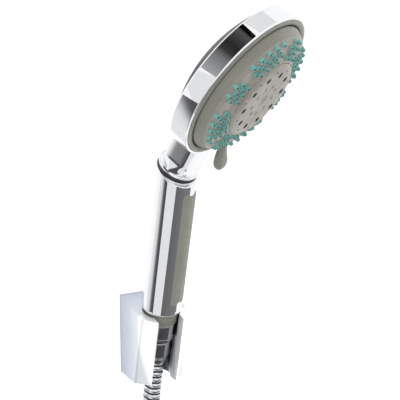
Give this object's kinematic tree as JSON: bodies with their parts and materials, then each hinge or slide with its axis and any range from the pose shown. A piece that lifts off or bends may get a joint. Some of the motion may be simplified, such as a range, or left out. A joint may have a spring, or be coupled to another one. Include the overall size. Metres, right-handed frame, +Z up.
{
  "type": "handheld shower head",
  "caption": "Handheld shower head with a turning spray face and mode lever, resting in a slotted wall bracket, with its flexible metal hose.",
  "frame": {"origin": "middle of the bracket's wall face", "axes": "+Y into the wall, square to the wall face; +Z up; +X to the right of someone facing the wall"},
  "size_m": [0.1826, 0.1608, 0.5046],
  "materials": {
    "chrome": "polished",
    "chrome_dark": "polished",
    "grey_plastic": "satin",
    "grip_rubber": "matte",
    "teal_rubber": "satin",
    "black_rubber": "matte",
    "white_plastic": "satin",
    "dark_plastic": "satin",
    "steel": "satin",
    "brass": "satin",
    "hose_metal": "polished",
    "coil_core": "satin",
    "tie_strap": "satin"
  },
  "bodies": {
    "bracket": {"bracket_body": "chrome", "wall_plate": "steel", "grub_screw": "steel", "socket_liner": "dark_plastic"},
    "hose": {"hose_nipple_top": "brass", "hose_ferrule_top": "chrome_dark", "hose_tube": "hose_metal", "hose_coil": "coil_core", "coil_tie": "tie_strap", "hose_tail": "hose_metal", "hose_ferrule_end": "chrome_dark", "hose_nipple_end": "brass"},
    "far_nut": {"hose_nut_end": "chrome_dark", "supply_washer": "black_rubber"},
    "handset": {"handle_shell": "chrome", "grip_insert": "grip_rubber", "neck_collar": "chrome", "tail_collar": "grey_plastic", "inlet_nipple": "brass", "flow_regulator": "white_plastic", "water_tube": "white_plastic", "hose_nut_top": "chrome_dark", "inlet_washer": "black_rubber", "head_shell": "chrome", "head_band": "chrome", "bezel_ring": "grey_plastic", "distributor": "white_plastic", "distributor_screws": "steel", "head_o_ring": "black_rubber", "port_seals": "black_rubber", "centre_screw": "steel", "detent_spring": "steel"},
    "detent": {"detent_pin": "white_plastic"},
    "face": {"spray_plate": "grey_plastic", "nozzle_mat": "teal_rubber", "massage_insert": "grey_plastic", "centre_cap": "grey_plastic", "channel_plate": "white_plastic", "pivot_washer": "white_plastic", "mode_lever": "grey_plastic"},
    "turbine": {"turbine": "white_plastic"}
  },
  "joints": [
    {"name": "lift", "type": "slide", "parent": "bracket", "child": "hose", "axis": [0, -0.2504, 0.9681], "range_m": [0, 0.045]},
    {"name": "swivel", "type": "hinge", "parent": "hose", "child": "handset", "pos_m": [0, -0.0342, 0.0347], "axis": [0, -0.2504, 0.9681], "range_deg": [-118, 62]},
    {"name": "mode_select", "type": "hinge", "parent": "handset", "child": "face", "pos_m": [0.02187, -0.12159, 0.20834], "axis": [0.4412, -0.7176, -0.5389], "range_deg": [-72, 72]},
    {"name": "turbine_spin", "type": "hinge", "parent": "face", "child": "turbine", "pos_m": [0.02187, -0.12159, 0.20834], "axis": [0.4412, -0.7176, -0.5389], "continuous": true},
    {"name": "detent_press", "type": "slide", "parent": "handset", "child": "detent", "axis": [-0.4412, 0.7176, 0.5389], "range_m": [0, 0.0004], "stiffness_N_per_m": 400},
    {"name": "far_nut_spin", "type": "hinge", "parent": "hose", "child": "far_nut", "pos_m": [0, -0.0555, -0.206], "axis": [0, 0, -1], "continuous": true}
  ]
}
